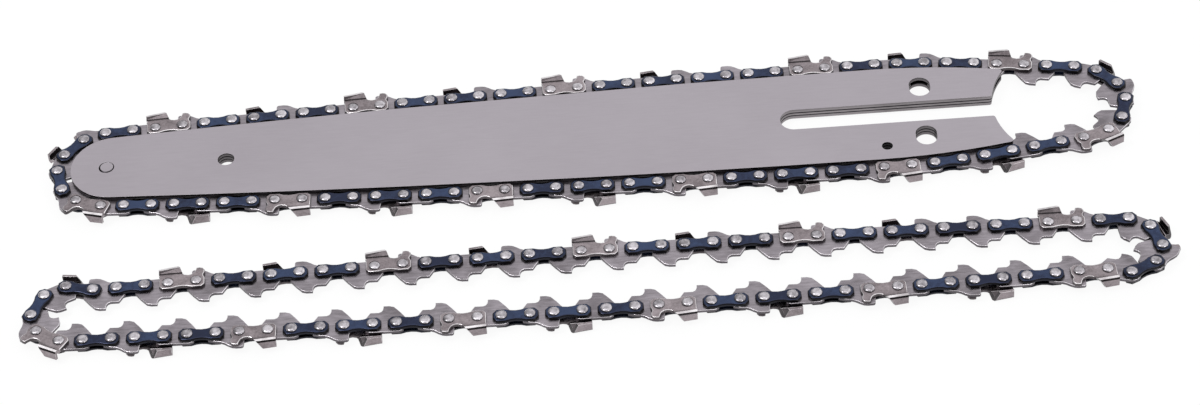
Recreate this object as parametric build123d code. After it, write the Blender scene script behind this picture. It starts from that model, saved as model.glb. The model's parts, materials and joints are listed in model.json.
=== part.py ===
from build123d import *
import os
from math import acos, asin, atan2, cos, degrees, dist, hypot, pi, sin, sqrt

# Cutting set of a pole saw: a sprocket-nose guide bar, the saw chain round it and a spare chain.
# Millimetres, +Z up, everything lying flat with the floor at z = 0.
# Shapes are drawn in the bar's own frame, with the nose rivet at (0, 0) and the tail towards +X.
# The frame shift at the end puts the middle of the footprint on the origin.

# Chain, 3/8 inch low-profile pattern
LINKS = 45
PAIR_LENGTH = 18.6
STRAP_PITCH = 10.12
DRIVE_PITCH = PAIR_LENGTH - STRAP_PITCH
DRIVE_THICKNESS = 1.27
STRAP_THICKNESS = 1.2
SIDE_PLAY = 0.015
STRAP_LENGTH = 16.4
STRAP_HEIGHT = 6.0
STRAP_WAIST = 4.5
TANG_DEPTH = 9.2
DRIVE_TOP = 3.4
BUMPER_TOP = 6.3
GAUGE_TOP = 6.4
FOLD_HEIGHT = 3.8
TOOTH_TOP = 7.2
TOOTH_FLARE = 1.4
TOOTH_REACH = 0.95
TOOTH_RELIEF = 1.1
TOOTH_PLATE = 0.95
TOOTH_BASE_X = -0.4
TOOTH_TIP_X = -1.6
FILED_LEAN = 0.55
FILED_BACK = 0.52
HUB_RADIUS = 2.45
PIVOT_PLAY = 0.07
OPEN_PIVOT_PLAY = 0.12
SHANK_RADIUS = 1.78
SHANK_PLAY = 0.02
HEAD_RADIUS = 2.1
HEAD_HEIGHT = 0.72
HEAD_RIM = 0.3

# Guide bar
BAR_THICKNESS = 4.6
CORE_THICKNESS = 1.36
NOSE_CENTRE_X = 2.4
NOSE_RADIUS = 15.8
WIDEST_X = 285.0
WIDEST_HALF = 24.05
SHOULDER_RADIUS = 265.0
TAIL_LENGTH = 50.0
TAIL_HOLLOW = 5.9
TAIL_CORNER_X = WIDEST_X + TAIL_LENGTH
TAIL_INNER_X = TAIL_CORNER_X - TAIL_HOLLOW
TAIL_CORNER_ROUND = 1.0
SLOT_LENGTH = 84.8
SLOT_START_X = TAIL_CORNER_X - SLOT_LENGTH
SLOT_WIDTH = 10.4
TENSION_SETBACK = 31.9
TENSION_X = TAIL_CORNER_X - TENSION_SETBACK
TENSION_SPACING = 26.0
TENSION_WIDTH = 7.8
TENSION_LENGTH = 9.9
OIL_SETBACK = 46.7
OIL_X = TAIL_CORNER_X - OIL_SETBACK
OIL_Y = -17.3
OIL_RADIUS = 2.0
HANG_X = 44.5
HANG_RADIUS = 3.1
GROOVE_DEPTH = 7.0
CORE_SETBACK = 8.0
CORE_CLEARANCE = 1.2

# Nose sprocket and its needle bearing
NOSE_RIVET_RADIUS = 2.85
NOSE_RIVET_CROWN = 0.08
NOSE_FIT = 0.02
RACE_RADIUS = 4.2
ROLLERS = 18
ROLLER_RADIUS = 0.65
ROLLER_PLAY = 0.03
SPROCKET_TEETH = 6
SPROCKET_THICKNESS = 1.2
SPROCKET_ROOT = 8.0
SPROCKET_TIP = 12.0
TOOTH_BASE_ANGLE = 13.0
TOOTH_TIP_ANGLE = 5.0
SPROCKET_TURN = 17.3

# Where the fitted chain runs, as a line through its rivets
RIVET_OFFSET = 3.45
NOSE_SLACK = 1.4
NOSE_GAP = 0.15
TAIL_NARROWING = 8.3
CHAIN_NOSE_X = NOSE_CENTRE_X - NOSE_SLACK
CHAIN_NOSE_RADIUS = NOSE_RADIUS + RIVET_OFFSET + NOSE_GAP
CHAIN_TAIL_RADIUS = WIDEST_HALF + RIVET_OFFSET - TAIL_NARROWING
FITTED_START = -9.55
FITTED_JOIN = 15

# Spare chain, lying in front of the bar as a flattened loop
SPARE_X = 179.1
SPARE_Y = -74.1
SPARE_LEAN = 10.7
SPARE_RISE = 24.3
SPARE_RUN_PAIRS = 20
SPARE_RUN_RADIUS = 6900.0
SPARE_JOIN = 19

# Frame shift
FRAME_X = -179.729
FRAME_Y = 30.655

STRAP_IN = DRIVE_THICKNESS / 2 + SIDE_PLAY
STRAP_OUT = STRAP_IN + STRAP_THICKNESS
HOLE_RADIUS = HUB_RADIUS + PIVOT_PLAY
OPEN_HOLE_RADIUS = HUB_RADIUS + OPEN_PIVOT_PLAY


def outline(start, *steps):
    """Face inside a closed line. A step is an end point, or (via point, end point) for an arc."""
    edges = []
    here = start
    for step in steps:
        if isinstance(step[0], tuple):
            via, end = step
            edges.append(ThreePointArc(here, via, end))
        else:
            end = step
            edges.append(Line(here, end))
        here = end
    if here != start:
        edges.append(Line(here, start))
    return make_face(edges)


def plate(face, bottom, top):
    """Solid plate between two heights."""
    return extrude(Pos(0, 0, bottom) * face, top - bottom)


def dome(radius, rim, crown):
    """Arc step from the rim of a round head up to its crown on the axis, part of a ball."""
    rise = crown - rim
    ball = (radius**2 + rise**2) / (2 * rise)
    half = radius / 2
    return (half, crown - ball + sqrt(ball**2 - half**2)), (0, crown)


def pin_holes(pitch, radii):
    """The two rivet holes of a link, rear hole first."""
    rear, front = radii
    return Pos(-pitch / 2, 0) * Circle(rear) + Pos(pitch / 2, 0) * Circle(front)


# Links. Each is drawn with +X along the chain's travel, +Y outwards and z = 0 at the chain's middle.

def tie_strap():
    """Plain strap with a waist and bevelled ends, on the upper side of the chain."""
    end = STRAP_LENGTH / 2
    half = STRAP_HEIGHT / 2
    waist = STRAP_WAIST / 2
    bevel_x = end - 1.45
    bevel_y = half - 1.65
    flat_x = 3.6
    face = outline(
        (end, bevel_y),
        (bevel_x, half),
        (flat_x, half),
        ((0, waist), (-flat_x, half)),
        (-bevel_x, half),
        (-end, bevel_y),
        (-end, -bevel_y),
        (-bevel_x, -half),
        (-flat_x, -half),
        ((0, -waist), (flat_x, -half)),
        (bevel_x, -half),
        (end, -bevel_y),
    )
    hole = SHANK_RADIUS + SHANK_PLAY
    return plate(face - pin_holes(STRAP_PITCH, (hole, hole)), STRAP_IN, STRAP_OUT)


def drive_link(bumper=False, holes=(HOLE_RADIUS, HOLE_RADIUS)):
    """Centre link: a hooked tang inwards and, on the bumper form, a ramp in front of the cutter."""
    if bumper:
        crest = [
            (-6.2, 2.6),
            (-5.9, BUMPER_TOP - 0.6),
            ((-5.6, BUMPER_TOP - 0.15), (-5.1, BUMPER_TOP)),
            (-2.6, BUMPER_TOP),
            ((0.9, 5.2), (4.6, DRIVE_TOP)),
        ]
    else:
        crest = [((-6.7, 2.5), (-5.2, DRIVE_TOP)), (5.2, DRIVE_TOP)]
    face = outline(
        (-7.5, 0.8),
        *crest,
        ((6.8, 2.5), (7.5, 0.8)),
        (7.4, -2.6),
        (5.2, -6.2),
        (0.8, -6.9),
        (0.5, -TANG_DEPTH),
        ((-2.0, -9.1), (-3.6, -8.5)),
        (-7.6, -3.0),
    )
    half = DRIVE_THICKNESS / 2
    return plate(face - pin_holes(DRIVE_PITCH, holes), -half, half)


def cutter():
    """Cutter on the upper side: side plate with depth gauge in front, flared tooth bent over the chain."""
    end = STRAP_LENGTH / 2
    half = STRAP_HEIGHT / 2
    waist = STRAP_WAIST / 2
    side_face = outline(
        (-end, -half + 1.2),
        (-end, FOLD_HEIGHT),
        (TOOTH_BASE_X, FOLD_HEIGHT),
        ((0.8, 3.4), (2.3, 3.6)),
        (2.9, 5.1),
        (4.2, GAUGE_TOP - 0.1),
        ((5.1, GAUGE_TOP), (6.0, GAUGE_TOP - 0.3)),
        (7.6, 4.6),
        (8.1, 3.6),
        (7.7, 2.2),
        (end, 1.2),
        (end, -half + 1.2),
        (end - 1.2, -half),
        (3.6, -half),
        ((0, -waist), (-3.6, -half)),
        (-end + 1.2, -half),
    )
    hole = SHANK_RADIUS + SHANK_PLAY
    side = plate(side_face - pin_holes(STRAP_PITCH, (hole, hole)), STRAP_IN, STRAP_OUT)
    flare = STRAP_OUT + TOOTH_FLARE

    def section(x, drop):
        """Cross-section of the tooth at one place along the chain."""
        top = TOOTH_TOP - drop
        side_z = flare - 0.25 * drop
        points = [
            (x, FOLD_HEIGHT - 0.6, STRAP_IN),
            (x, FOLD_HEIGHT - 0.6, STRAP_OUT),
            (x, FOLD_HEIGHT, STRAP_OUT),
            (x, top - 0.6, side_z),
            (x, top, side_z - 0.45),
            (x, top, -TOOTH_REACH),
            (x, top - TOOTH_PLATE, -TOOTH_REACH),
            (x, top - TOOTH_PLATE, side_z - 1.35),
            (x, FOLD_HEIGHT + 0.3, STRAP_IN),
        ]
        return make_face(Polyline(*points, close=True))

    tooth = loft([section(-end - 0.1, TOOTH_RELIEF), section(TOOTH_BASE_X, 0)], ruled=True)
    # The front is filed back from the outer corner, both over the chain and towards the tooth's top.
    filing = Plane(origin=(TOOTH_TIP_X, TOOTH_TOP, flare), z_dir=(1, FILED_LEAN, -FILED_BACK))
    return side + split(tooth, bisect_by=filing, keep=Keep.BOTTOM)


def rivet():
    """Riveted pin: a hub that the drive link turns on, a shank in the straps and a domed head each side."""
    crown = STRAP_OUT + HEAD_HEIGHT
    rim = STRAP_OUT + HEAD_RIM
    upper_half = Plane.XZ * outline(
        (0, 0),
        (HUB_RADIUS, 0),
        (HUB_RADIUS, STRAP_IN),
        (SHANK_RADIUS, STRAP_IN),
        (SHANK_RADIUS, STRAP_OUT),
        (HEAD_RADIUS, STRAP_OUT),
        (HEAD_RADIUS, rim),
        dome(HEAD_RADIUS, rim, crown),
    )
    upper = revolve(upper_half, Axis.Z)
    return upper + mirror(upper, about=Plane.XY)


# Rivet lines

class FittedLine:
    """Closed line of the fitted chain's rivets: nose arc, rail, shoulder, straight span and tail arc.

    It is walked clockwise from the nose tip, and the lower half mirrors the upper half.
    """

    def __init__(self, tail_x):
        rail_half = WIDEST_HALF + RIVET_OFFSET
        rail_radius = touching_radius(CHAIN_NOSE_X, CHAIN_NOSE_RADIUS, WIDEST_X, rail_half)
        shoulder_radius = SHOULDER_RADIUS + RIVET_OFFSET
        rail_y = rail_half - rail_radius
        shoulder_y = rail_half - shoulder_radius
        nose_turn = atan2(-rail_y, CHAIN_NOSE_X - WIDEST_X)
        reach = hypot(tail_x - WIDEST_X, shoulder_y)
        span_normal = atan2(-shoulder_y, tail_x - WIDEST_X)
        span_normal += acos((shoulder_radius - CHAIN_TAIL_RADIUS) / reach)
        self.span_start = polar((WIDEST_X, shoulder_y), shoulder_radius, span_normal)
        self.span_end = polar((tail_x, 0), CHAIN_TAIL_RADIUS, span_normal)
        self.pieces = [
            ((CHAIN_NOSE_X, 0), CHAIN_NOSE_RADIUS, pi, nose_turn),
            ((WIDEST_X, rail_y), rail_radius, nose_turn, pi / 2),
            ((WIDEST_X, shoulder_y), shoulder_radius, pi / 2, span_normal),
            None,
            ((tail_x, 0), CHAIN_TAIL_RADIUS, span_normal, 0),
        ]
        self.length = 2 * sum(self.piece_length(piece) for piece in self.pieces)

    def piece_length(self, piece):
        if piece is None:
            return dist(self.span_start, self.span_end)
        _, radius, start, end = piece
        return radius * (start - end)

    def point(self, along):
        along %= self.length
        if along > self.length / 2:
            x, y = self.point(self.length - along)
            return x, -y
        for piece in self.pieces:
            length = self.piece_length(piece)
            if along <= length or piece is self.pieces[-1]:
                break
            along -= length
        if piece is None:
            part = along / length
            return tuple(a + part * (b - a) for a, b in zip(self.span_start, self.span_end))
        centre, radius, start, _ = piece
        return polar(centre, radius, start - along / radius)

    def step(self, along, chord):
        """Place along the line that lies one chord further on."""
        here = self.point(along)
        return bisect(lambda s: dist(here, self.point(s)) - chord, along + 0.5 * chord, along + 1.5 * chord)

    def walk(self):
        """Rivet places, ending one past the last, which closes the loop when the length is right."""
        along = FITTED_START
        places = [along]
        for chord in chords(0, 2 * LINKS):
            along = self.step(along, chord)
            places.append(along)
        return places


def polar(centre, radius, angle):
    return centre[0] + radius * cos(angle), centre[1] + radius * sin(angle)


def touching_radius(small_x, small_radius, top_x, top_y):
    """Radius of the arc that is level at (top_x, top_y) and touches a circle on the X axis inside it."""
    run = top_x - small_x
    rise = top_y - small_radius
    return (run * run / rise + top_y + small_radius) / 2


def bisect(function, low, high):
    low_value = function(low)
    for _ in range(60):
        middle = (low + high) / 2
        value = function(middle)
        if (value > 0) == (low_value > 0):
            low = middle
        else:
            high = middle
    return (low + high) / 2


def nearest_tail():
    """Least tail place at which a straight span can still join the shoulder to the tail arc."""
    shoulder = SHOULDER_RADIUS + RIVET_OFFSET
    drop = SHOULDER_RADIUS - WIDEST_HALF
    return WIDEST_X + sqrt((shoulder - CHAIN_TAIL_RADIUS) ** 2 - drop**2) + 0.01


def chords(first, count):
    """Rivet spacings from the first-th on: straps are even, drive links odd."""
    return [DRIVE_PITCH if (first + i) % 2 else STRAP_PITCH for i in range(count)]


def fitted_rivets():
    """Rivets of the fitted chain, strap 1 first. The tail's place is what makes the loop close."""
    def mismatch(tail_x):
        line = FittedLine(tail_x)
        return line.walk()[-1] - FITTED_START - line.length

    nearest = nearest_tail()
    line = FittedLine(bisect(mismatch, nearest, nearest + LINKS * PAIR_LENGTH / 8))
    return [line.point(along) for along in line.walk()[:-1]]


def arc_walk(start, end, spacings, radius):
    """Rivets clockwise along an arc from start to end, both included."""
    turns = [2 * asin(chord / (2 * radius)) for chord in spacings]
    ahead = atan2(end[1] - start[1], end[0] - start[0])
    middle = ((start[0] + end[0]) / 2, (start[1] + end[1]) / 2)
    centre = polar(middle, radius * cos(sum(turns) / 2), ahead - pi / 2)
    angle = atan2(start[1] - centre[1], start[0] - centre[0])
    points = [start]
    for turn in turns:
        angle -= turn
        points.append(polar(centre, radius, angle))
    return points


def bow_radius(span, spacings):
    """Radius at which these chords go the long way round between two points one span apart."""
    def excess(radius):
        turned = sum(2 * asin(chord / (2 * radius)) for chord in spacings)
        return turned + 2 * asin(span / (2 * radius)) - 2 * pi

    return bisect(excess, span / 2 + 1e-6, 3 * span)


def spare_rivets():
    """Rivets of the spare chain, strap 1 first.

    Its two runs are alike and its two end bows span the same vector, so the four pivots between
    them are a parallelogram.
    """
    run = chords(0, 2 * SPARE_RUN_PAIRS)
    run_turn = sum(2 * asin(chord / (2 * SPARE_RUN_RADIUS)) for chord in run)
    run_span = 2 * SPARE_RUN_RADIUS * sin(run_turn / 2)
    left = SPARE_X - (run_span + SPARE_LEAN) / 2
    low = SPARE_Y - SPARE_RISE / 2
    lower_left = (left, low)
    lower_right = (left + run_span, low)
    upper_left = (left + SPARE_LEAN, low + SPARE_RISE)
    upper_right = (left + SPARE_LEAN + run_span, low + SPARE_RISE)
    bow_span = hypot(SPARE_LEAN, SPARE_RISE)
    left_bow = chords(0, 5)
    right_bow = chords(1, 5)
    upper = chords(1, 2 * SPARE_RUN_PAIRS)
    loop = arc_walk(lower_right, lower_left, run, SPARE_RUN_RADIUS)[:-1]
    loop += arc_walk(lower_left, upper_left, left_bow, bow_radius(bow_span, left_bow))[:-1]
    loop += arc_walk(upper_left, upper_right, upper, SPARE_RUN_RADIUS)[:-1]
    loop += arc_walk(upper_right, lower_right, right_bow, bow_radius(bow_span, right_bow))[:-1]
    # The walk starts at strap 25, so strap 1 comes 21 straps later.
    first = 2 * (LINKS - 24)
    return loop[first:] + loop[:first]


# Chains: which piece stands at each place, and which run of the chain it moves with

def cutter_side(position, join):
    """Every second strap place holds a cutter, on alternate sides, with one extra plain place at the join."""
    counted = position - 1 if position > join else position
    if counted % 2:
        return None
    return "upper" if counted % 4 == 0 else "under"


def link_frame(rear, front):
    angle = atan2(front[1] - rear[1], front[0] - rear[0])
    middle = ((rear[0] + front[0]) / 2, (rear[1] + front[1]) / 2, MID_Z)
    return Location(middle, (0, 0, degrees(angle)))


def chain_group(rivets, join, straps, drives, open_rear=()):
    """The pieces of one run of a chain, by kind. open_rear lists drive links with a loose rear hole."""
    group = {}

    def add(kind, link, frame):
        group.setdefault(kind, []).append(link.moved(frame))

    for position in straps:
        rear = rivets[2 * position - 2]
        front = rivets[2 * position - 1]
        frame = link_frame(rear, front)
        side = cutter_side(position, join)
        add("cutters_upper" if side == "upper" else "straps_upper", LINK[side == "upper", True], frame)
        add("cutters_under" if side == "under" else "straps_under", LINK[side == "under", False], frame)
        for x, y in (rear, front):
            add("rivets", RIVET, Location((x, y, MID_Z)))
    for position in drives:
        rear = rivets[2 * position - 1]
        front = rivets[2 * position % len(rivets)]
        bumper = position == join or cutter_side(position, join) is not None
        kind = "bumper_links" if bumper else "drive_links"
        add(kind, DRIVE[bumper, position in open_rear], link_frame(rear, front))
    return group


# Guide bar

def shoulder_line(inset, x):
    """Half-width of the bar behind its widest place, moved inwards by inset."""
    radius = SHOULDER_RADIUS - inset
    return WIDEST_HALF - SHOULDER_RADIUS + sqrt(radius**2 - (x - WIDEST_X) ** 2)


def tail_hollow():
    """Centre and radius of the hollow round the saw's drive sprocket, from tail corner to slot mouth."""
    corner = (TAIL_CORNER_X, shoulder_line(0, TAIL_CORNER_X))
    inner = (TAIL_INNER_X, SLOT_WIDTH / 2)
    squares = inner[0] ** 2 + inner[1] ** 2 - corner[0] ** 2 - corner[1] ** 2
    centre_x = squares / (2 * (inner[0] - corner[0]))
    return centre_x, dist((centre_x, 0), corner)


def bar_outline(inset, nose_start):
    """Half-width line of the bar, moved inwards by inset, from nose_start to the tail, as outline steps."""
    half = WIDEST_HALF - inset
    radius = touching_radius(NOSE_CENTRE_X, NOSE_RADIUS - inset, WIDEST_X, half)
    hollow_x, hollow_radius = tail_hollow()

    def rail(x):
        return half - radius + sqrt(radius**2 - (x - WIDEST_X) ** 2)

    def beyond_hollow(x):
        return dist((hollow_x, 0), (x, shoulder_line(inset, x))) - hollow_radius

    tail_x = bisect(beyond_hollow, TAIL_INNER_X - TAIL_HOLLOW, TAIL_CORNER_X + 0.01)
    middle_x = (nose_start + WIDEST_X) / 2
    fall_x = (WIDEST_X + tail_x) / 2
    start = (nose_start, rail(nose_start))
    steps = [
        ((middle_x, rail(middle_x)), (WIDEST_X, half)),
        ((fall_x, shoulder_line(inset, fall_x)), (tail_x, shoulder_line(inset, tail_x))),
    ]
    return start, steps


def mirrored(point):
    return point[0], -point[1]


def bar_face(inset, nose):
    """Plan of one bar layer. nose gives where the upper line starts and the arc that joins both lines."""
    start, steps = bar_outline(inset, nose["start_x"])
    corner = steps[-1][1]
    inner = (TAIL_INNER_X, SLOT_WIDTH / 2)
    hollow_x, hollow_radius = tail_hollow()
    hollow_y = (corner[1] + inner[1]) / 2
    hollow = (hollow_x - sqrt(hollow_radius**2 - hollow_y**2), hollow_y)
    slot_round_x = SLOT_START_X + SLOT_WIDTH / 2
    upper = [*steps, (hollow, inner), (slot_round_x, SLOT_WIDTH / 2)]
    round_end = ((SLOT_START_X, 0), (slot_round_x, -SLOT_WIDTH / 2))
    lower = [
        mirrored(inner),
        (mirrored(hollow), mirrored(corner)),
        (mirrored(steps[1][0]), mirrored(steps[0][1])),
        (mirrored(steps[0][0]), mirrored(start)),
    ]
    face = outline(start, *upper, round_end, *lower, (nose["via"], start))
    corners = [v for v in face.vertices() if v.X > TAIL_INNER_X - 1]
    face = fillet(corners, TAIL_CORNER_ROUND)
    tension = Rot(0, 0, 90) * SlotOverall(TENSION_LENGTH, TENSION_WIDTH)
    for y in (-TENSION_SPACING / 2, TENSION_SPACING / 2):
        face -= Pos(TENSION_X, y) * tension
    face -= Pos(HANG_X, 0) * Circle(HANG_RADIUS)
    face -= Pos(OIL_X, OIL_Y) * Circle(OIL_RADIUS)
    return face


def nose_tangent():
    """Where the nose arc meets the upper rail."""
    radius = touching_radius(NOSE_CENTRE_X, NOSE_RADIUS, WIDEST_X, WIDEST_HALF)
    angle = atan2(radius - WIDEST_HALF, NOSE_CENTRE_X - WIDEST_X)
    return polar((NOSE_CENTRE_X, 0), NOSE_RADIUS, angle)


def guide_bar():
    """Two side plates with a narrower core between them, which leaves the chain's groove open all round."""
    side = bar_face(0, {"start_x": nose_tangent()[0], "via": (NOSE_CENTRE_X - NOSE_RADIUS, 0)})
    side -= Circle(NOSE_RIVET_RADIUS + NOSE_FIT)
    core_nose = {"start_x": SPROCKET_TIP + CORE_SETBACK, "via": (SPROCKET_TIP + CORE_CLEARANCE, 0)}
    core = bar_face(GROOVE_DEPTH, core_nose)
    top = BAR_THICKNESS / 2
    inner = CORE_THICKNESS / 2
    return {
        "bar_top_plate": plate(side, inner, top),
        "bar_core_plate": plate(core, -inner, inner),
        "bar_bottom_plate": plate(side, -top, -inner),
    }


def nose_bearing():
    """Nose rivet, hardened race, needle rollers and the toothed nose sprocket."""
    top = BAR_THICKNESS / 2
    crown = top + NOSE_RIVET_CROWN
    rivet_half = revolve(Plane.XZ * outline(
        (0, 0),
        (NOSE_RIVET_RADIUS, 0),
        (NOSE_RIVET_RADIUS, top),
        dome(NOSE_RIVET_RADIUS, top, crown),
    ), Axis.Z)
    race_half = CORE_THICKNESS / 2
    race = plate(Circle(RACE_RADIUS) - Circle(NOSE_RIVET_RADIUS + NOSE_FIT), -race_half, race_half)
    half = SPROCKET_THICKNESS / 2
    orbit = RACE_RADIUS + ROLLER_PLAY + ROLLER_RADIUS
    roller = plate(Circle(ROLLER_RADIUS), -half, half)
    rollers = [
        roller.moved(Location((*polar((0, 0), orbit, 2 * pi * i / ROLLERS), 0)))
        for i in range(ROLLERS)
    ]
    bore = orbit + ROLLER_RADIUS + ROLLER_PLAY
    tooth = outline(
        polar((0, 0), SPROCKET_ROOT - 1, -TOOTH_BASE_ANGLE * pi / 180),
        polar((0, 0), SPROCKET_TIP, -TOOTH_TIP_ANGLE * pi / 180),
        ((SPROCKET_TIP + 0.2, 0), polar((0, 0), SPROCKET_TIP, TOOTH_TIP_ANGLE * pi / 180)),
        polar((0, 0), SPROCKET_ROOT - 1, TOOTH_BASE_ANGLE * pi / 180),
    )
    disc = Circle(SPROCKET_ROOT)
    for i in range(SPROCKET_TEETH):
        disc += Rot(0, 0, SPROCKET_TURN + 360 * i / SPROCKET_TEETH) * tooth
    return {
        "nose_rivet": rivet_half + mirror(rivet_half, about=Plane.XY),
        "nose_bearing_race": race,
        "nose_bearing_rollers": rollers,
        "nose_sprocket": plate(disc - Circle(bore), -half, half),
    }


STRAP = tie_strap()
CUTTER = cutter()
RIVET = rivet()
# The outer corners of the cutters rest on the floor.
MID_Z = CUTTER.bounding_box().max.Z
LINK = {
    (False, True): STRAP,
    (True, True): CUTTER,
    (False, False): mirror(STRAP, about=Plane.XY),
    (True, False): mirror(CUTTER, about=Plane.XY),
}
LOOSE = (OPEN_HOLE_RADIUS, HOLE_RADIUS)
DRIVE = {
    (bumper, loose): drive_link(bumper, LOOSE if loose else (HOLE_RADIUS, HOLE_RADIUS))
    for bumper in (False, True)
    for loose in (False, True)
}

# Runs of each chain: (name, strap places, drive links by the place before them, loose rear holes)
FITTED_RUNS = [
    ("rail", [*range(1, 22), *range(27, 46)], [*range(1, 21), *range(26, 46)], ()),
    ("tail_upper", [22], [21], ()),
    ("tail_bow", [23, 24, 25], [22, 23, 24], ()),
    ("tail_lower", [26], [25], (25,)),
]
SPARE_RUNS = [
    ("spare_lower", range(25, 45), range(25, 45), ()),
    ("spare_left", [45, 1, 2], [45, 1], ()),
    ("spare_upper", range(3, 23), range(2, 22), ()),
    ("spare_right", [23, 24], [22, 23, 24], (22,)),
]

nodes = {}
for name, shape in {**guide_bar(), **nose_bearing()}.items():
    shapes = shape if isinstance(shape, list) else [shape]
    nodes[name] = [Pos(0, 0, MID_Z) * s for s in shapes]
for rivets, join, runs in (
    (fitted_rivets(), FITTED_JOIN, FITTED_RUNS),
    (spare_rivets(), SPARE_JOIN, SPARE_RUNS),
):
    for run, straps, drives, loose in runs:
        for kind, links in chain_group(rivets, join, straps, drives, loose).items():
            nodes[f"{run}_{kind}"] = links

os.makedirs("parts", exist_ok=True)
for name, shapes in nodes.items():
    solids = [Pos(FRAME_X, FRAME_Y, 0) * s for s in shapes]
    export_step(solids[0] if len(solids) == 1 else Compound(children=solids), f"parts/{name}.step")
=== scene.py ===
"""Guide bar with a fitted saw chain and a spare chain beside it: finished pieces, materials and studio."""
import json
from math import cos, radians, sin

import bmesh
import bpy
import numpy as np
from mathutils import Matrix, Vector

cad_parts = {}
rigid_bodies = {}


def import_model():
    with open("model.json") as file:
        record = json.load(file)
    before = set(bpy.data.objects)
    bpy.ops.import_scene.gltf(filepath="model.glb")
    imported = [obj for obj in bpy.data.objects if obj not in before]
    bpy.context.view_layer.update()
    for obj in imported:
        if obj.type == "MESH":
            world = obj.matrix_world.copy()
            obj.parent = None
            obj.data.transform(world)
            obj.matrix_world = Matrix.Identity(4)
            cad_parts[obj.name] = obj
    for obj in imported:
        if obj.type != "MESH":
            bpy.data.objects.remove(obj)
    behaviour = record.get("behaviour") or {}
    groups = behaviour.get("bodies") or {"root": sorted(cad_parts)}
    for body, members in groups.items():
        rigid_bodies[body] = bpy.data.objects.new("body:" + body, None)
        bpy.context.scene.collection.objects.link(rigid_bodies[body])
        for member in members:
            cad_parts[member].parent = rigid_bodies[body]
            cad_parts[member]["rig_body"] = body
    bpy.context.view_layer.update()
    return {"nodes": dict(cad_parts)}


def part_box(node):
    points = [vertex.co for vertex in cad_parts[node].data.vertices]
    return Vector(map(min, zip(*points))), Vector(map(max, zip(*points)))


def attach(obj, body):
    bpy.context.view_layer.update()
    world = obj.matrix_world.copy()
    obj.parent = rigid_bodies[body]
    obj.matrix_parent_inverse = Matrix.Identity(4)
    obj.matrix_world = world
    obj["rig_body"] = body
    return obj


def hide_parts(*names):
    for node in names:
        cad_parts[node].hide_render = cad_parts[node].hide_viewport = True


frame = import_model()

MM = 0.001
SAME_PLACE = 1e-6
ON_PLANE = 1e-5
FLAT_ANGLE = radians(1)
CORNER_ANGLE = radians(20)
SHARP_ANGLE = radians(40)

# Chain links: lengths in millimetres, +X along the chain's travel, +Y outwards and z = 0 at its middle

STRAP_PITCH = 10.12
DRIVE_PITCH = 8.48
STRAP_IN = 0.65
STRAP_OUT = 1.85
STRAP_END = 8.2
STRAP_HALF = 3.0
STRAP_WAIST = 2.25
STRAP_CORNER_X = 1.45
STRAP_CORNER_Y = 1.65
STRAP_ROUNDING = 0.62
WAIST_END = 3.6
WAIST_STEPS = 4
SHADE_START = 3.4
SHADE_END = 6.8
DRIVE_HALF = 0.635
DRIVE_TOP = 3.4
DRIVE_ROUNDING = 0.18
TANG_DEPTH = 9.2
BUMPER_TOP = 6.3
CUTTER_CORNER = 1.2
CUTTER_ROUNDING = 0.34
GAUGE_TOP = 6.4
FOLD_HEIGHT = 3.8
FOLD_OVERLAP = 0.6
FOLD_SINK = 0.02
FOLD_BAND = 0.3
TOOTH_TOP = 7.2
TOOTH_FLARE = 1.4
TOOTH_REACH = 0.95
TOOTH_RELIEF = 1.1
SIDE_RELIEF = 0.25 * TOOTH_RELIEF
TOOTH_PLATE = 0.95
TOOTH_BASE_X = 0.5
TOOTH_TIP_X = -1.6
TOOTH_ROUNDING = 0.12
HEEL_OVERHANG = 0.1
FILED_LEAN = 0.76
FILED_BACK = 0.52
HEAD_RADIUS = 2.1
HEAD_HEIGHT = 0.72
HEAD_STEPS = 16

# Share of near-black painted into places: mostly painted shade in walls, creases, hollows, grooves and gaps,
# with oily grime as well in the strap walls, the plate seams and the oil hole

STRAP_WALL_SHADE_AND_GRIME = 0.9
DRIVE_WALL_SHADE = 0.6
CUTTER_WALL_SHADE = 0.7
CREASE_SHADE = 0.8
BEND_SHADE = 0.85
FLARE_SHADE = 0.32
HOLLOW_SHADE = 0.75
HEAD_RIM_SHADOW = 0.85
BAR_WALL_SHADE = 0.45
RAIL_SHADE = 0.8
SEAM_GRIME_AND_SHADE = 0.95
OIL_HOLE_GRIME_AND_SHADE = 1.0
RIVET_GROOVE_SHADE = 0.9

# Mesh helpers


def new_shape():
    """Empty bmesh with marks for the edge colour (wear with painted highlights and shade), for near-black
    painted shade with some oily grime, for the tone of each link and for its darker ends.
    """
    shape = bmesh.new()
    for mark in ("edge_wear_and_shading", "shade_and_grime", "link_tone"):
        shape.faces.layers.float.new(mark)
    shape.verts.layers.float.new("end_shade")
    return shape


def finished_mesh(shape, name):
    """Mesh made from a bmesh, which is then freed."""
    mesh = bpy.data.meshes.new(name)
    shape.to_mesh(mesh)
    shape.free()
    return mesh


def new_object(name, data):
    """Object in the scene that carries a mesh, lamp or camera."""
    made = bpy.data.objects.new(name, data)
    bpy.context.scene.collection.objects.link(made)
    return made


def round_edges(shape, edges, width, segments):
    """Round the given edges and mark the new faces for the edge colour: wear with a painted highlight on
    most metals, near-black painted shade on the blued straps.
    """
    wear_and_shading = shape.faces.layers.float["edge_wear_and_shading"]
    rounded = bmesh.ops.bevel(
        shape, geom=edges, offset=width, affect="EDGES", segments=segments,
        profile=0.5, material=-1, clamp_overlap=True,
    )
    for face in rounded["faces"]:
        face[wear_and_shading] = 1.0
        face.smooth = True


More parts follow.
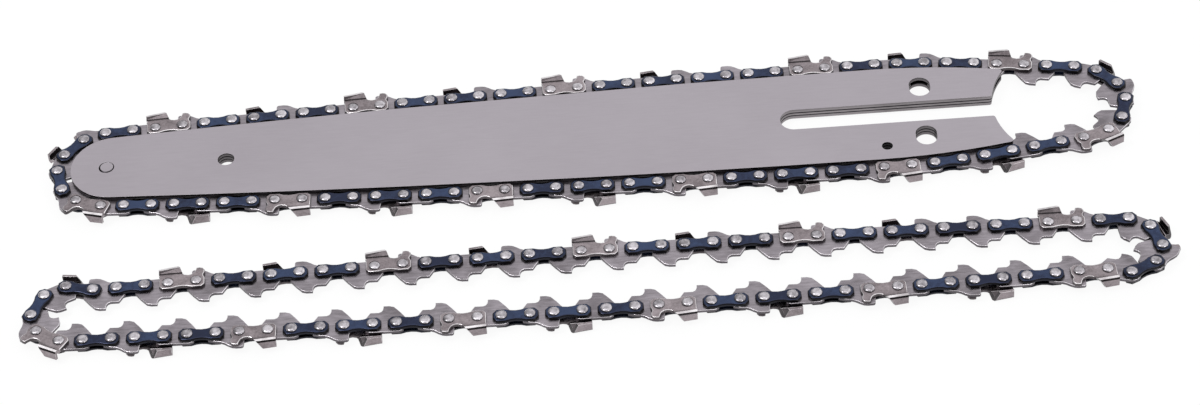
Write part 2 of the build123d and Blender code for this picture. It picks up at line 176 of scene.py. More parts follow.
def flat_plate(line, bottom, top):
    """Plate between two heights, cut to a closed line of points."""
    shape = new_shape()
    lower = shape.faces.new([shape.verts.new((x, y, bottom)) for x, y in line])
    grown = bmesh.ops.extrude_face_region(shape, geom=[lower], use_keep_orig=True)
    raised = [item for item in grown["geom"] if isinstance(item, bmesh.types.BMVert)]
    bmesh.ops.translate(shape, verts=raised, vec=(0, 0, top - bottom))
    bmesh.ops.recalc_face_normals(shape, faces=shape.faces)
    return shape


def rim_edges(shape, height):
    """Edges round the flat face of a plate at one height."""
    return [edge for edge in shape.edges if all(abs(vert.co.z - height) < SAME_PLACE for vert in edge.verts)]


def spun(half_line, steps):
    """Turned solid, the same above and below, from radii and heights that start on the axis at the top."""
    shape = new_shape()
    line = half_line + [(radius, -height) for radius, height in reversed(half_line)]
    points = [shape.verts.new((radius, 0, height)) for radius, height in line]
    edges = [shape.edges.new(pair) for pair in zip(points, points[1:])]
    bmesh.ops.spin(
        shape, geom=points + edges, cent=(0, 0, 0), axis=(0, 0, 1),
        angle=radians(360), steps=steps, use_merge=True,
    )
    bmesh.ops.remove_doubles(shape, verts=shape.verts, dist=SAME_PLACE)
    bmesh.ops.recalc_face_normals(shape, faces=shape.faces)
    return shape


def shade_and_soil(shape, faces, amount):
    """Cover faces with near-black painted shade, with oily grime as well in some places, instead of the edge
    colour.
    """
    wear_and_shading = shape.faces.layers.float["edge_wear_and_shading"]
    shade_and_grime = shape.faces.layers.float["shade_and_grime"]
    for face in faces:
        face[wear_and_shading] = 0.0
        face[shade_and_grime] = amount


def is_wall(face):
    """True for a face that stands more than it lies."""
    return abs(face.normal.z) < 0.5


def walls(shape):
    """Side walls of a plate or a turned solid."""
    return [face for face in shape.faces if is_wall(face)]


def chosen(shape, test):
    """Faces that pass a test of the way they face and of their middle."""
    return [face for face in shape.faces if test(face.normal, face.calc_center_median())]


def other_side(mesh, name):
    """The same link mirrored to the under side of the chain."""
    turned = mesh.copy()
    turned.name = name
    turned.transform(Matrix.Scale(-1, 4, (0, 0, 1)))
    turned.flip_normals()
    return turned


# Links


def waist():
    """Points along a strap's edge from front to rear, with its shallow hollow."""
    sag = STRAP_HALF - STRAP_WAIST
    points = []
    for step in range(WAIST_STEPS + 1):
        share = step / WAIST_STEPS
        dip = sag * 4 * share * (1 - share)
        points.append((WAIST_END - 2 * WAIST_END * share, STRAP_HALF - dip))
    return points


def strap_link():
    """Plain strap: cut corners and a darker tone at each end, and a shallow waist."""
    corner_x = STRAP_END - STRAP_CORNER_X
    corner_y = STRAP_HALF - STRAP_CORNER_Y
    upper = [
        (STRAP_END, corner_y),
        (corner_x, STRAP_HALF),
        *waist(),
        (-corner_x, STRAP_HALF),
        (-STRAP_END, corner_y),
    ]
    lower = [(-x, -y) for x, y in upper]
    shape = flat_plate(upper + lower, STRAP_IN, STRAP_OUT)
    # Painted shade with some oily grime on the side walls; near-black painted shade on the rounded rims
    shade_and_soil(shape, walls(shape), STRAP_WALL_SHADE_AND_GRIME)
    round_edges(shape, rim_edges(shape, STRAP_OUT), STRAP_ROUNDING, 3)
    shade = shape.verts.layers.float["end_shade"]
    for vert in shape.verts:
        share = (abs(vert.co.x) - SHADE_START) / (SHADE_END - SHADE_START)
        vert[shade] = min(max(share, 0), 1)
    return finished_mesh(shape, "strap_link")


def drive_link(bumper):
    """Centre link with a hooked tang and, in front of a cutter, a ramp on top."""
    if bumper:
        crest = [
            (-6.2, 2.6),
            (-5.9, BUMPER_TOP - 0.6),
            (-5.6, BUMPER_TOP - 0.15),
            (-5.1, BUMPER_TOP),
            (-3.2, BUMPER_TOP),
            (-1.8, 6.0),
            (-0.4, 5.2),
            (1.0, 4.2),
            (2.4, 3.6),
            (4.0, DRIVE_TOP),
        ]
    else:
        crest = [(-6.7, 2.5), (-5.2, DRIVE_TOP), (5.2, DRIVE_TOP)]
    front = [(6.8, 2.5), (7.5, 0.8), (7.4, -2.6), (5.2, -6.2)]
    hook = [(2.2, -6.1), (1.3, -6.5), (0.8, -7.2), (0.55, -8.1), (0.5, -TANG_DEPTH)]
    back = [(-1.7, -9.1), (-3.3, -8.55), (-5.4, -6.05), (-7.6, -3.0)]
    shape = flat_plate([(-7.5, 0.8), *crest, *front, *hook, *back], -DRIVE_HALF, DRIVE_HALF)
    # Painted shade on the side walls and a painted highlight on the rounded rims
    shade_and_soil(shape, walls(shape), DRIVE_WALL_SHADE)
    for height in (-DRIVE_HALF, DRIVE_HALF):
        round_edges(shape, rim_edges(shape, height), DRIVE_ROUNDING, 1)
    return finished_mesh(shape, "bumper_link" if bumper else "drive_link")


def cutter_plate():
    """Side plate of a cutter, with the depth gauge at its front."""
    gullet = [(0.9, 3.4), (2.2, 3.1), (3.4, 3.3), (4.3, 4.0), (4.9, 5.2)]
    gauge = [(5.2, GAUGE_TOP - 0.1), (6.2, GAUGE_TOP), (7.4, GAUGE_TOP - 0.3), (8.1, 5.2), (8.1, 3.9)]
    front = [(7.6, 2.9), (7.7, 2.2), (STRAP_END, 1.2)]
    line = [
        (-STRAP_END, -STRAP_HALF + CUTTER_CORNER),
        (-STRAP_END, FOLD_HEIGHT),
        (TOOTH_BASE_X, FOLD_HEIGHT),
        *gullet,
        *gauge,
        *front,
        (STRAP_END, -STRAP_HALF + CUTTER_CORNER),
        (STRAP_END - CUTTER_CORNER, -STRAP_HALF),
        *[(x, -y) for x, y in waist()],
        (-STRAP_END + CUTTER_CORNER, -STRAP_HALF),
    ]
    shape = flat_plate(line, STRAP_IN, STRAP_OUT)
    # Painted shade on the side walls and a painted highlight on the rounded rims
    shade_and_soil(shape, walls(shape), CUTTER_WALL_SHADE)
    round_edges(shape, rim_edges(shape, STRAP_OUT), CUTTER_ROUNDING, 2)
    # Painted shade in the crease under the tooth's fold
    crease_start = FOLD_HEIGHT - CUTTER_ROUNDING
    crease = chosen(shape, lambda normal, middle: middle.y > crease_start and middle.x < TOOTH_BASE_X)
    shade_and_soil(shape, crease, CREASE_SHADE)
    return finished_mesh(shape, "cutter_plate")


def heel_outline():
    """Outline of the tooth's heel, as places outwards from the chain's line and up from its middle."""
    top = TOOTH_TOP - TOOTH_RELIEF
    flare = STRAP_OUT + TOOTH_FLARE - SIDE_RELIEF
    return [
        (FOLD_HEIGHT - FOLD_OVERLAP, STRAP_IN),
        (FOLD_HEIGHT - FOLD_OVERLAP, STRAP_OUT - FOLD_SINK),
        (FOLD_HEIGHT, STRAP_OUT - FOLD_SINK),
        (FOLD_HEIGHT + 0.4, STRAP_OUT + 0.34),
        (top - 1.3, flare),
        (top - 0.4, flare - 0.18),
        (top, flare - 0.85),
        (top, -TOOTH_REACH),
        (top - TOOTH_PLATE, -TOOTH_REACH),
        (top - TOOTH_PLATE, flare - 1.5),
        (FOLD_HEIGHT + FOLD_BAND, STRAP_IN),
    ]


def filed_tooth():
    """Tooth drawn forwards from its heel, rising and flaring on the way, and filed back across its front."""
    shape = new_shape()
    heel_x = -STRAP_END - HEEL_OVERHANG
    heel = shape.faces.new([shape.verts.new((heel_x, y, z)) for y, z in heel_outline()])
    grown = bmesh.ops.extrude_face_region(shape, geom=[heel], use_keep_orig=True)
    front = [item for item in grown["geom"] if isinstance(item, bmesh.types.BMVert)]
    bmesh.ops.translate(shape, verts=front, vec=(TOOTH_BASE_X - heel_x, 0, 0))
    above_fold = FOLD_HEIGHT + 0.5
    risen = [vert for vert in front if vert.co.y > above_fold]
    bmesh.ops.translate(shape, verts=risen, vec=(0, TOOTH_RELIEF, 0))
    flared = [vert for vert in risen if vert.co.z > STRAP_IN]
    bmesh.ops.translate(shape, verts=flared, vec=(0, 0, SIDE_RELIEF))
    bmesh.ops.recalc_face_normals(shape, faces=shape.faces)
    tip = (TOOTH_TIP_X, TOOTH_TOP, STRAP_OUT + TOOTH_FLARE)
    filed = bmesh.ops.bisect_plane(
        shape, geom=list(shape.verts) + list(shape.edges) + list(shape.faces), dist=ON_PLANE,
        plane_co=tip, plane_no=(1, FILED_LEAN, -FILED_BACK), clear_outer=True,
    )
    cut = [item for item in filed["geom_cut"] if isinstance(item, bmesh.types.BMEdge)]
    for face in bmesh.ops.contextual_create(shape, geom=cut)["faces"]:
        face.material_index = 1
    bmesh.ops.recalc_face_normals(shape, faces=shape.faces)
    return shape


def cutter_tooth():
    """Flared tooth with a painted highlight along the crest of its bend, and painted shade below the bend,
    in the fold, on the flare and inside.
    """
    shape = filed_tooth()
    wear_and_shading = shape.faces.layers.float["edge_wear_and_shading"]
    fold_end = FOLD_HEIGHT + FOLD_BAND
    crest = chosen(shape, lambda normal, middle: normal.z > 0.9 and normal.y > 0.1)
    below = chosen(shape, lambda normal, middle: 0.4 < normal.z < 0.75 and normal.y > 0.5)
    fold = chosen(shape, lambda normal, middle: normal.y < -0.5 and FOLD_HEIGHT < middle.y < fold_end)
    flare = chosen(shape, lambda normal, middle: normal.y < -0.3 and normal.z > 0.3 and middle.y > fold_end)
    hollow = chosen(shape, lambda normal, middle: normal.y < -0.9 or (normal.y > 0.4 and normal.z < -0.4))
    # Painted highlight along the crest of the bend and on the rounded edges
    for face in crest:
        face[wear_and_shading] = 1.0
    # Painted shade below the bend, in the fold, on the flare and in the hollow inside
    shade_and_soil(shape, below + fold, BEND_SHADE)
    shade_and_soil(shape, flare, FLARE_SHADE)
    shade_and_soil(shape, hollow, HOLLOW_SHADE)
    bent = set(crest + below + fold)
    edges = [
        edge for edge in shape.edges
        if edge.calc_face_angle(0) > CORNER_ANGLE and not bent.intersection(edge.link_faces)
    ]
    round_edges(shape, edges, TOOTH_ROUNDING, 2)
    return finished_mesh(shape, "cutter_tooth")


def cutter_link():
    """Side plate and tooth as one cutter."""
    shape = new_shape()
    shape.from_mesh(cutter_plate())
    shape.from_mesh(cutter_tooth())
    return finished_mesh(shape, "cutter_link")


def rivet_pin():
    """Riveted pin with a spun head each side."""
    crown = STRAP_OUT + HEAD_HEIGHT
    half_line = [
        (0, crown - 0.1),
        (0.6, crown),
        (1.4, crown - 0.12),
        (HEAD_RADIUS, STRAP_OUT + 0.3),
        (HEAD_RADIUS, STRAP_OUT - 0.1),
    ]
    shape = spun(half_line, HEAD_STEPS)
    # Painted shadow on the rim wall of each head
    shade_and_soil(shape, walls(shape), HEAD_RIM_SHADOW)
    for face in shape.faces:
        face.smooth = True
    return finished_mesh(shape, "rivet_pin")


# Places of the links in millimetres, read from the rivets of the frame

CROWN_DEPTH = 0.002
LINK_REACH = 4

chain_low, chain_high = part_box("rail_drive_links")
CHAIN_MIDDLE = (chain_low.z + chain_high.z) / 2 / MM


def node_points(node):
    """Corner points of a CAD node in millimetres."""
    mesh = frame["nodes"][node].data
    points = np.empty(len(mesh.vertices) * 3)
    mesh.vertices.foreach_get("co", points)
    return points.reshape(-1, 3) / MM


def rivet_centres(nodes):
    """Axes of the rivets: the highest point of each domed head stands on its axis."""
    centres = set()
    for node in nodes:
        points = node_points(node)
        crowns = points[points[:, 2] > points[:, 2].max() - CROWN_DEPTH]
        centres.update((round(x, 2), round(y, 2)) for x, y, _ in crowns)
    return np.array(sorted(centres))


def chain_loop(centres):
    """Rivets in order round the chain, clockwise, each strap's rear rivet before its front one."""
    spans = np.hypot(*(centres[:, None] - centres[None]).transpose(2, 0, 1))
    strap_mate = abs(spans - STRAP_PITCH).argmin(axis=1)
    drive_mate = abs(spans - DRIVE_PITCH).argmin(axis=1)
    order = [0]
    while len(order) < len(centres):
        order.append(strap_mate[order[-1]])
        order.append(drive_mate[order[-1]])
    loop = centres[order[:len(centres)]]
    x, y = loop.T
    if np.sum(x * np.roll(y, -1) - np.roll(x, -1) * y) > 0:
        loop = loop[::-1]
    return loop


def link_places(rears, fronts):
    """Placing matrix of each link between two rivets."""
    places = []
    for rear, front in zip(rears, fronts):
        along = Vector((*(front - rear), 0)).normalized()
        turn = Matrix(((along.x, -along.y, 0), (along.y, along.x, 0), (0, 0, 1))).to_4x4()
        middle = Vector((*((rear + front) / 2), CHAIN_MIDDLE))
        places.append(Matrix.Scale(MM, 4) @ Matrix.Translation(middle) @ turn)
    return places


def rivet_places(node):
    """Placing matrix of each rivet in a CAD node."""
    centres = rivet_centres([node])
    return [Matrix.Scale(MM, 4) @ Matrix.Translation((x, y, CHAIN_MIDDLE)) for x, y in centres]


def places_in(node, places):
    """The places whose link belongs to a CAD node, seen by the points that lie close to the place."""
    points = node_points(node)[:, :2]
    own = []
    for place in places:
        centre = np.array(place.translation[:2]) / MM
        if np.hypot(*(points - centre).T).min() < LINK_REACH:
            own.append(place)
    return own


# Materials


def join(tree, value, socket):
    """Set a socket to a constant, or link another node's output into it."""
    if isinstance(value, bpy.types.NodeSocket):
        tree.links.new(value, socket)
    else:
        socket.default_value = value


def add(tree, kind, inputs=None, **settings):
    """New node with its settings and inputs."""
    made = tree.nodes.new(kind)
    for name, value in settings.items():
        setattr(made, name, value)
    for name, value in (inputs or {}).items():
        join(tree, value, made.inputs[name])
    return made


def mixed_colour(tree, share, first, second):
    """Colour between two others, from the Mix node's colour sockets."""
    return add(tree, "ShaderNodeMix", {0: share, 6: first, 7: second}, data_type="RGBA").outputs[2]


def mixed_number(tree, share, first, second):
    """Number between two others, from the Mix node's number sockets."""
    return add(tree, "ShaderNodeMix", {0: share, 2: first, 3: second}, data_type="FLOAT").outputs[0]


def combined(tree, operation, first, second):
    """Sum, difference, product or larger one of two numbers."""
    return add(tree, "ShaderNodeMath", {0: first, 1: second}, operation=operation).outputs[0]


def ranged(tree, value, span, new_span):
    """Value moved from one span to another and held inside it."""
    inputs = {
        "Value": value,
        "From Min": span[0],
        "From Max": span[1],
        "To Min": new_span[0],
        "To Max": new_span[1],
    }
    return add(tree, "ShaderNodeMapRange", inputs).outputs["Result"]


def mesh_mark(tree, name):
    """Number that the mesh carries on its faces or points."""
    return add(tree, "ShaderNodeAttribute", attribute_name=name).outputs["Fac"]


def new_group(name, inputs, outputs):
    """Empty node group with named sockets."""
    group = bpy.data.node_groups.new(name, "ShaderNodeTree")
    for socket, kind, value in inputs:
        made = group.interface.new_socket(socket, in_out="INPUT", socket_type=kind)
        made.default_value = value
    for socket, kind in outputs:
        group.interface.new_socket(socket, in_out="OUTPUT", socket_type=kind)
    return group, group.nodes.new("NodeGroupInput").outputs, group.nodes.new("NodeGroupOutput").inputs


COLOUR = "NodeSocketColor"
NUMBER = "NodeSocketFloat"
TRIPLE = "NodeSocketVector"
# Near-black for painted shade, and for oily grime where there is some
SHADE_AND_GRIME_COLOUR = (0.012, 0.011, 0.013, 1)
END_SHADE = 0.25


def worked_steel_group():
    """Grain of rolling or grinding, soft blotches of oil, edge wear with painted highlights and shade,
    near-black painted shade with some grime, and link to link tone.
    """
    group, given, result = new_group(
        "worked_steel",
        [
            ("Pale", COLOUR, (0.5, 0.5, 0.5, 1)),
            ("Deep", COLOUR, (0.3, 0.3, 0.3, 1)),
            ("Worn", COLOUR, (0.6, 0.6, 0.6, 1)),
            ("Wear", NUMBER, 0.5),
            ("Grain", TRIPLE, (300, 300, 300)),
            ("Blotch", NUMBER, 60),
            ("Tone", NUMBER, 0.3),
            ("Smoothest", NUMBER, 0.25),
            ("Roughest", NUMBER, 0.45),
        ],
        [("Color", COLOUR), ("Roughness", NUMBER), ("Height", NUMBER)],
    )
    place = add(group, "ShaderNodeTexCoord").outputs["Object"]
    stretched = add(group, "ShaderNodeVectorMath", {0: place, 1: given["Grain"]}, operation="MULTIPLY")
    grain = add(
        group, "ShaderNodeTexNoise",
        {"Vector": stretched.outputs[0], "Scale": 1.0, "Detail": 3.0, "Roughness": 0.6},
    ).outputs["Fac"]
    blotch = add(
        group, "ShaderNodeTexNoise", {"Vector": place, "Scale": given["Blotch"], "Detail": 2.0},
    ).outputs["Fac"]
    off_middle = combined(group, "SUBTRACT", mesh_mark(group, "link_tone"), 0.5)
    tone = combined(group, "MULTIPLY", off_middle, given["Tone"])
    mottled = combined(group, "ADD", combined(group, "ADD", grain, blotch), tone)
    share = ranged(group, mottled, (0.7, 1.3), (0.0, 1.0))
    body = mixed_colour(group, share, given["Deep"], given["Pale"])
    # Edge colour: wear, with painted highlights on most metals and painted shade on the blued straps, patchy
    # along the edge
    patchiness = ranged(group, blotch, (0.35, 0.6), (0.45, 1.0))
    wear_and_shading_mask = combined(group, "MULTIPLY", mesh_mark(group, "edge_wear_and_shading"), patchiness)
    undarkened = mixed_colour(group, combined(group, "MULTIPLY", wear_and_shading_mask, given["Wear"]), body, given["Worn"])
    # Near-black painted shade and grime, and the darker strap ends, mixed in last
    end_shade = combined(group, "MULTIPLY", mesh_mark(group, "end_shade"), END_SHADE)
    shade_and_grime_share = combined(group, "ADD", mesh_mark(group, "shade_and_grime"), end_shade)
    join(group, mixed_colour(group, shade_and_grime_share, undarkened, SHADE_AND_GRIME_COLOUR), result["Color"])
    roughness = ranged(group, share, (0.0, 1.0), (given["Smoothest"], given["Roughest"]))
    join(group, roughness, result["Roughness"])
    join(group, grain, result["Height"])
    return group


WORKED_STEEL = worked_steel_group()
COAT_ROUGHNESS = 0.2


def steel(name, pale, deep, wear_and_shading, grain, relief, coat=0.0, **values):
    """Metal finish from the worked steel group. relief is the depth of the grain in millimetres."""
    material = bpy.data.materials.new(name)
    material.use_nodes = True
    tree = material.node_tree
    surface = tree.nodes["Principled BSDF"]
    finish = add(tree, "ShaderNodeGroup", node_tree=WORKED_STEEL)
    values.update(Pale=(*pale, 1), Deep=(*deep, 1), Worn=(*wear_and_shading, 1), Grain=grain)
    for socket, value in values.items():
        finish.inputs[socket].default_value = value
    bump = add(
        tree, "ShaderNodeBump",
        {"Height": finish.outputs["Height"], "Strength": 1.0, "Distance": relief * MM},
    )
    join(tree, finish.outputs["Color"], surface.inputs["Base Color"])
    join(tree, finish.outputs["Roughness"], surface.inputs["Roughness"])
    join(tree, bump.outputs["Normal"], surface.inputs["Normal"])
    surface.inputs["Metallic"].default_value = 1.0
    surface.inputs["Coat Weight"].default_value = coat
    surface.inputs["Coat Roughness"].default_value = COAT_ROUGHNESS
    return material


# Edge colour: wear with a painted highlight on the eased rims
GROUND_BAR = steel(
    "ground_bar_steel", (0.44, 0.408, 0.446), (0.402, 0.37, 0.406), (0.66, 0.63, 0.66),
    grain=(120, 1600, 1600), relief=0.002, Wear=0.5, Blotch=22, Tone=0.0, Smoothest=0.32, Roughest=0.42,
)
CUT_EDGE = steel(
    "cut_edge_steel", (0.36, 0.332, 0.35), (0.2, 0.184, 0.192), (0.5, 0.47, 0.49),
    grain=(250, 250, 2500), relief=0.01, Wear=0.5, Blotch=70, Tone=0.0, Smoothest=0.35, Roughest=0.55,
)
# Edge colour: near-black painted shade on the rounded rims
BLUED_STRAP = steel(
    "blued_strap", (0.042, 0.064, 0.135), (0.02, 0.026, 0.058), (0.017, 0.021, 0.044),
    grain=(700, 700, 700), relief=0.006, coat=0.25,
    Wear=0.85, Blotch=90, Tone=0.8, Smoothest=0.2, Roughest=0.36,
)
# Edge colour: wear with a painted highlight on the rounded rims and along the tooth's bend
CUTTER_GREY = steel(
    "cutter_plating", (0.38, 0.332, 0.35), (0.2, 0.172, 0.182), (0.82, 0.79, 0.81),
    grain=(1300, 1300, 1300), relief=0.02, Wear=0.9, Blotch=200, Tone=0.35, Smoothest=0.25, Roughest=0.42,
)
# Dark colour is a painted reflection of the dark front; the filed metal itself is bright
FILED_EDGE = steel(
    "filed_edge", (0.13, 0.12, 0.125), (0.05, 0.046, 0.048), (0.4, 0.38, 0.39),
    grain=(300, 3000, 300), relief=0.006, Wear=0.8, Blotch=110, Tone=0.2, Smoothest=0.2, Roughest=0.35,
)
# Edge colour: wear with a painted highlight on the rounded rims
LINK_GREY = steel(
    "drive_link_steel", (0.39, 0.357, 0.392), (0.2, 0.181, 0.198), (0.8, 0.76, 0.8),
    grain=(220, 1100, 1100), relief=0.016, Wear=0.95, Blotch=100, Tone=0.25, Smoothest=0.25, Roughest=0.4,
)
RIVET_BRIGHT = steel(
    "rivet_head_steel", (0.66, 0.63, 0.67), (0.26, 0.244, 0.262), (0.6, 0.6, 0.6),
    grain=(800, 800, 800), relief=0.05, Wear=0.0, Blotch=420, Tone=0.3, Smoothest=0.16, Roughest=0.32,
)
BEARING_STEEL = steel(
    "bearing_steel", (0.5, 0.48, 0.5), (0.34, 0.32, 0.34), (0.6, 0.6, 0.6),
    grain=(500, 500, 500), relief=0.004, Wear=0.0, Blotch=150, Tone=0.0, Smoothest=0.18, Roughest=0.3,
)

# Chain pieces

GOLDEN_STEP = 0.618


def piece(name, mesh, materials, body, node):
    """Finished piece that stands for a CAD node and moves with its body."""
    for material in materials:
        mesh.materials.append(material)
    made = new_object(name, mesh)
    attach(made, body)
    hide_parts(node)


def row_of(link, places, name):
    """One mesh with a copy of a link at each place, each copy in a tone of its own."""
    row = new_shape()
    tone = row.faces.layers.float["link_tone"]
    for number, place in enumerate(places, 1):
        before = len(row.faces)
        copy = link.copy()
        copy.transform(place)
        row.from_mesh(copy)
        bpy.data.meshes.remove(copy)
        row.faces.ensure_lookup_table()
        for face in row.faces[before:]:
            face[tone] = number * GOLDEN_STEP % 1
    return finished_mesh(row, name)


STRAP = strap_link()
CUTTER = cutter_link()
LINKS = {
    "straps_upper": (STRAP, [BLUED_STRAP], "strap_blue"),
    "straps_under": (other_side(STRAP, "strap_link_under"), [BLUED_STRAP], "strap_blue"),
    "cutters_upper": (CUTTER, [CUTTER_GREY, FILED_EDGE], "cutter_steel"),
    "cutters_under": (other_side(CUTTER, "cutter_link_under"), [CUTTER_GREY, FILED_EDGE], "cutter_steel"),
    "drive_links": (drive_link(False), [LINK_GREY], "link_steel"),
    "bumper_links": (drive_link(True), [LINK_GREY], "link_steel"),
    "rivets": (rivet_pin(), [RIVET_BRIGHT], "rivet_steel"),
}
FITTED_CHAIN = ("rail", "tail_upper", "tail_bow", "tail_lower")
SPARE_CHAIN = ("spare_lower", "spare_left", "spare_upper", "spare_right")

for runs in (FITTED_CHAIN, SPARE_CHAIN):
    loop = chain_loop(rivet_centres([run + "_rivets" for run in runs]))
    rears = loop[0::2]
    fronts = loop[1::2]
    strap_places = link_places(rears, fronts)
    drive_places = link_places(fronts, np.roll(rears, -1, axis=0))
    for run in runs:
        for kind, (link, materials, slot) in LINKS.items():
            node = f"{run}_{kind}"
            if node not in frame["nodes"]:
                continue
            if kind == "rivets":
                places = rivet_places(node)
            elif kind in ("drive_links", "bumper_links"):
                places = places_in(node, drive_places)
            else:
                places = places_in(node, strap_places)
            body = frame["nodes"][node]["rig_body"]
            piece("finished_" + node, row_of(link, places, node), materials, body, node)

# Guide bar, in metres

bar_low, bar_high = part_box("bar_core_plate")
BAR_MIDDLE = (bar_low + bar_high) / 2
OIL_HOLE = Vector((108.57, 13.36, 0)) * MM
OIL_HOLE_REACH = 2.5 * MM
RAIL_SIDE = 10 * MM
SLOT_HALF = 6.0 * MM
SEAM_REACH = 1.2 * MM
RIM_EASING = 0.2 * MM
SEAM_EASING = 0.24 * MM


def on_rail(face):
    """True for a wall on the bar's outer line, which the chain runs along."""
    side = face.calc_center_median().y - BAR_MIDDLE.y
    return side * face.normal.y > 0 and abs(side) > RAIL_SIDE


def in_oil_hole(face):
    """True for the wall of the oil hole."""
    return (face.calc_center_median() - OIL_HOLE).xy.length < OIL_HOLE_REACH


def in_slot(face):
    """True for a wall of the clamp slot."""
    middle = face.calc_center_median()
    return middle.x > BAR_MIDDLE.x and abs(middle.y - BAR_MIDDLE.y) < SLOT_HALF


def wall_shade_and_grime(face):
    """Share of painted shade on a wall of the bar, with oily grime as well in the oil hole."""
    if in_oil_hole(face):
        return OIL_HOLE_GRIME_AND_SHADE
    if on_rail(face):
        return RAIL_SHADE
    return 0.0 if in_slot(face) else BAR_WALL_SHADE


def between_plates(height):
    """True for a height at which an outer plate lies on the core."""
    return abs(height - BAR_MIDDLE.z) < SEAM_REACH


def eased_plate(node):
    """Copy of a bar plate with the edges of its flat faces eased, painted shade marked on its walls, and
    oily grime with painted shade on its seams.
    """
    shape = new_shape()
    shape.from_mesh(frame["nodes"][node].data)
    bmesh.ops.remove_doubles(shape, verts=shape.verts, dist=SAME_PLACE)
    bmesh.ops.dissolve_limit(
        shape, angle_limit=FLAT_ANGLE, verts=shape.verts, edges=shape.edges, use_dissolve_boundaries=False,
    )
    # Painted shade on the walls: darkest in the oil hole and along the rail, lighter in the other holes,
    # none in the clamp slot
    for face in walls(shape):
        face.material_index = 1
        shade_and_soil(shape, [face], wall_shade_and_grime(face))
    for face in shape.faces:
        face.smooth = is_wall(face)
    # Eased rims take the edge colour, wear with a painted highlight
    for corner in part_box(node):
        rim = [edge for edge in rim_edges(shape, corner.z) if edge.calc_face_angle(0) > SHARP_ANGLE]
        round_edges(shape, rim, SEAM_EASING if between_plates(corner.z) else RIM_EASING, 2)
    # Oily grime and painted shade along the seams between the plates
    seams = chosen(shape, lambda normal, middle: abs(normal.z) > 0.05 and between_plates(middle.z))
    shade_and_soil(shape, seams, SEAM_GRIME_AND_SHADE)
    for edge in shape.edges:
        edge.smooth = edge.calc_face_angle(0) < SHARP_ANGLE
    mesh = finished_mesh(shape, node)
    # The CAD's own normals no longer fit the eased shape.
    mesh.attributes.remove(mesh.attributes["custom_normal"])
    return mesh


for node in ("bar_top_plate", "bar_core_plate", "bar_bottom_plate"):
    plate = eased_plate(node)
    piece("finished_" + node, plate, [GROUND_BAR, CUT_EDGE], "bar_and_chain", node)

RIVET_FACE_INSET = 0.45 * MM
RIVET_FACE_SHIFT = Vector((0.1, 0.2, 0)) * MM
RIVET_GROOVE_INSET = 0.3 * MM
RIVET_GROOVE_DEPTH = 0.6 * MM
RIVET_STEPS = 40


def pressed_rivet(node):
    """Flush rivet through the bar's nose: a ground face each side, off centre inside a turned groove."""
    low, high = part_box(node)
    radius = (high.x - low.x) / 2
    half = (high.z - low.z) / 2
    half_line = [
        (0, half),
        (radius - RIVET_FACE_INSET, half),
        (radius - RIVET_GROOVE_INSET, half - RIVET_GROOVE_DEPTH / 2),
        (radius, half - RIVET_GROOVE_DEPTH),
    ]
    shape = spun(half_line, RIVET_STEPS)
    flush = [vert for vert in shape.verts if abs(vert.co.z) > half - SAME_PLACE]
    bmesh.ops.translate(shape, verts=flush, vec=RIVET_FACE_SHIFT)
    bmesh.ops.translate(shape, verts=shape.verts, vec=(low + high) / 2)
    # Painted shade in the groove round the ground face
    groove = [face for face in shape.faces if abs(face.normal.z) < 0.9]
    shade_and_soil(shape, groove, RIVET_GROOVE_SHADE)
    for face in groove:
        face.smooth = True
    return finished_mesh(shape, node)


nose_rivet = pressed_rivet("nose_rivet")
piece("finished_nose_rivet", nose_rivet, [GROUND_BAR], "bar_and_chain", "nose_rivet")

for node in ("nose_bearing_race", "nose_bearing_rollers", "nose_sprocket"):
    inner = frame["nodes"][node].data
    inner.materials.clear()
    inner.materials.append(BEARING_STEEL)

# Floor, light and camera

WHITE = (1, 1, 1, 1)
PAPER = (0.95, 0.95, 0.95, 1)
PAPER_GLOW = 0.92
FLOOR_HALF = 6.0
LAMP_SIZE = 0.5


def floor_material():
    """White paper that keeps the soft shadow and looks white to the camera and to the metal."""
    material = bpy.data.materials.new("white_paper")
    material.use_nodes = True
    tree = material.node_tree
    paper = tree.nodes["Principled BSDF"]
    paper.inputs["Base Color"].default_value = PAPER
    paper.inputs["Roughness"].default_value = 0.9
    rays = add(tree, "ShaderNodeLightPath").outputs
    seen = combined(tree, "MAXIMUM", rays["Is Camera Ray"], rays["Is Glossy Ray"])
    seen = combined(tree, "MAXIMUM", seen, rays["Is Transmission Ray"])
    share = combined(tree, "MULTIPLY", seen, PAPER_GLOW)
    glow = add(tree, "ShaderNodeEmission", {"Color": WHITE, "Strength": 1.0})
    blend = add(tree, "ShaderNodeMixShader", {0: share, 1: paper.outputs[0], 2: glow.outputs[0]})
    join(tree, blend.outputs[0], tree.nodes["Material Output"].inputs["Surface"])
    return material


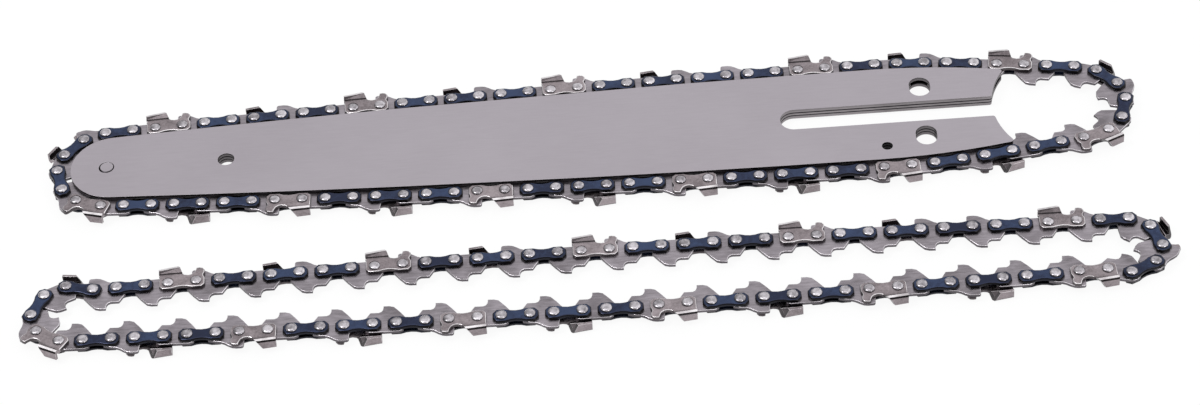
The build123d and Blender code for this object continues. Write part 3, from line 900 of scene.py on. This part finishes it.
def studio_world():
    """White to the camera. Metal sees soft boxes overhead and to the right, dim sides and a dark front."""
    world = bpy.data.worlds.new("studio")
    world.use_nodes = True
    sky = world.node_tree
    background = sky.nodes["Background"]
    background.inputs["Color"].default_value = WHITE
    rays = add(sky, "ShaderNodeLightPath").outputs
    plain = combined(sky, "MAXIMUM", rays["Is Camera Ray"], rays["Is Transmission Ray"])
    heading = add(sky, "ShaderNodeTexCoord").outputs["Generated"]
    direction = add(sky, "ShaderNodeSeparateXYZ", {"Vector": heading}).outputs
    sideways = add(sky, "ShaderNodeMath", {0: direction["X"]}, operation="ABSOLUTE").outputs[0]
    beside = ranged(sky, sideways, (0.0, 0.8), (1.02, 0.35))
    right_box = ranged(sky, direction["X"], (0.28, 0.5), (0.0, 0.7))
    top_box = ranged(sky, direction["Z"], (0.9, 0.97), (0.0, 0.8))
    behind = ranged(sky, direction["Y"], (-0.5, -0.12), (0.0, 1.0))
    in_front = ranged(sky, direction["Z"], (0.1, 0.7), (0.06, 0.65))
    along_view = mixed_number(sky, behind, in_front, 1.02)
    level_light = combined(sky, "MULTIPLY", combined(sky, "ADD", beside, right_box), along_view)
    studio = combined(sky, "ADD", level_light, top_box)
    join(sky, mixed_number(sky, plain, studio, 1.0), background.inputs["Strength"])
    return world


def soft_lamp(name, place, power):
    """Square soft box pointing at the object."""
    lamp = bpy.data.lights.new(name, "AREA")
    lamp.shape = "SQUARE"
    lamp.size = LAMP_SIZE
    lamp.energy = power
    made = new_object(name, lamp)
    made.location = place
    made.rotation_euler = (-Vector(place)).to_track_quat("-Z", "Y").to_euler()


floor_shape = bmesh.new()
bmesh.ops.create_grid(floor_shape, x_segments=2, y_segments=2, size=FLOOR_HALF)
floor_mesh = finished_mesh(floor_shape, "floor")
floor_mesh.materials.append(floor_material())
floor = new_object("floor", floor_mesh)

bpy.context.scene.world = studio_world()
soft_lamp("key_lamp", (-0.8, -0.2, 1.3), 7)
soft_lamp("fill_lamp", (0.9, -0.9, 0.9), 3)

CAMERA_LENS = 110.19
SENSOR_WIDTH = 36
CAMERA_DISTANCE = 1333.0
CAMERA_ELEVATION = radians(44.80)
CAMERA_TURN = radians(1.179)
CAMERA_ROLL = radians(-4.80)
CAMERA_AIM = Vector((2.323, -5.875, 5.69))


def photo_camera():
    """Camera in front of the set, turned slightly about its own axis, so the bar rises to the right."""
    level = Vector((cos(CAMERA_TURN), sin(CAMERA_TURN), 0))
    away = Vector((-sin(CAMERA_TURN), cos(CAMERA_TURN), 0))
    sight = away * cos(CAMERA_ELEVATION) - Vector((0, 0, sin(CAMERA_ELEVATION)))
    upright = level.cross(sight)
    right = level * cos(CAMERA_ROLL) + upright * sin(CAMERA_ROLL)
    up = upright * cos(CAMERA_ROLL) - level * sin(CAMERA_ROLL)
    lens = bpy.data.cameras.new("photo_camera")
    lens.sensor_width = SENSOR_WIDTH
    lens.sensor_fit = "HORIZONTAL"
    lens.lens = CAMERA_LENS
    pose = Matrix((right, up, -sight)).transposed().to_4x4()
    pose.translation = (CAMERA_AIM - sight * CAMERA_DISTANCE) * MM
    camera = new_object("photo_camera", lens)
    camera.matrix_world = pose
    return camera


bpy.context.scene.camera = photo_camera()
bpy.context.scene.view_settings.view_transform = "Standard"
